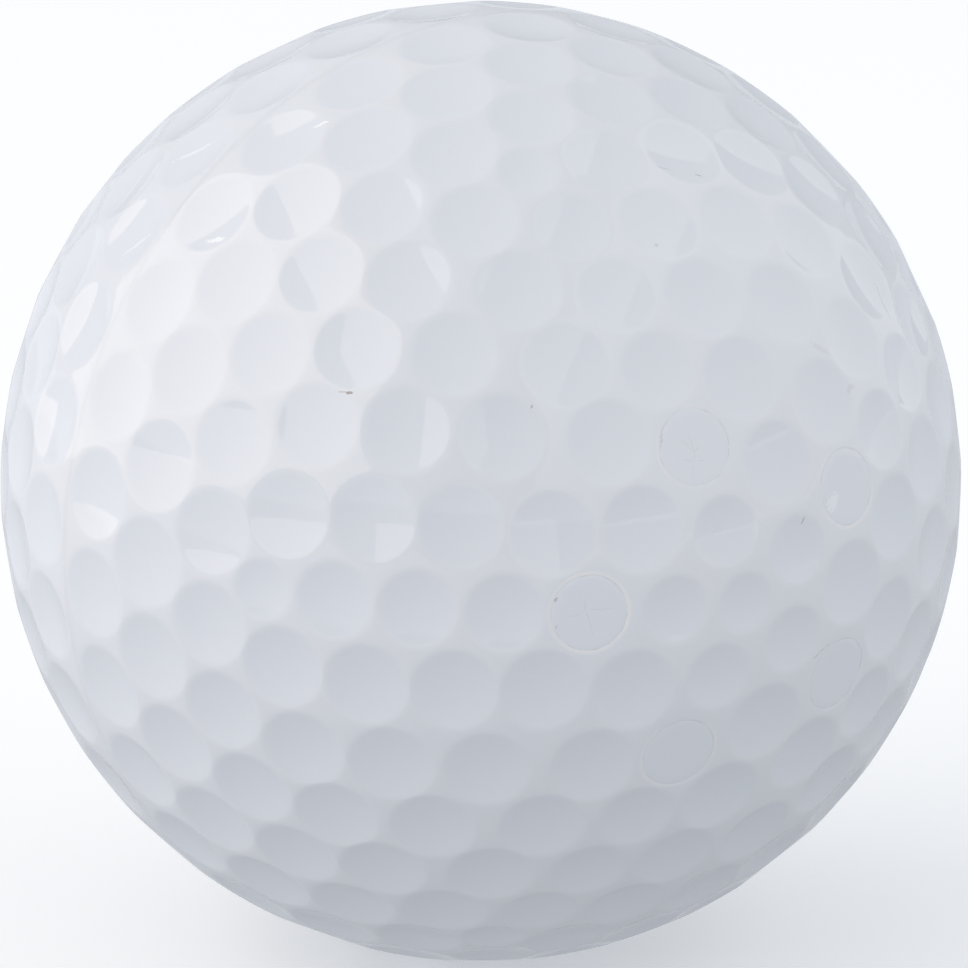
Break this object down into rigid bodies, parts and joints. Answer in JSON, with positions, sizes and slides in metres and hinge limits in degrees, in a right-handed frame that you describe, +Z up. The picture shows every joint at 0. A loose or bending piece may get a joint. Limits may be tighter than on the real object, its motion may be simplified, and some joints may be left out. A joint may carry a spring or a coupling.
{
  "type": "golf ball",
  "caption": "White dimpled golf ball with a rubber core, a mantle and a cover in two half shells that meet at a dimple-free parting line.",
  "frame": {"origin": "centre of the ball, at the middle of its bounding box", "axes": "+X through the pole dimple of the right cover half, normal to the parting line, which stands upright in the plane x = 0; +Z up, so that the ball rests on its parting line"},
  "size_m": [0.0426, 0.0426, 0.0426],
  "materials": {
    "core_rubber": "dull moulded polybutadiene rubber, blue compound",
    "mantle_ionomer": "plain moulded ionomer resin, unpainted",
    "cover_white": "white ionomer cover under a clear gloss coat"
  },
  "bodies": {
    "root": {"core": "core_rubber", "mantle_right_half": "mantle_ionomer", "mantle_left_half": "mantle_ionomer", "cover_right_half": "cover_white", "cover_left_half": "cover_white"}
  },
  "joints": []
}
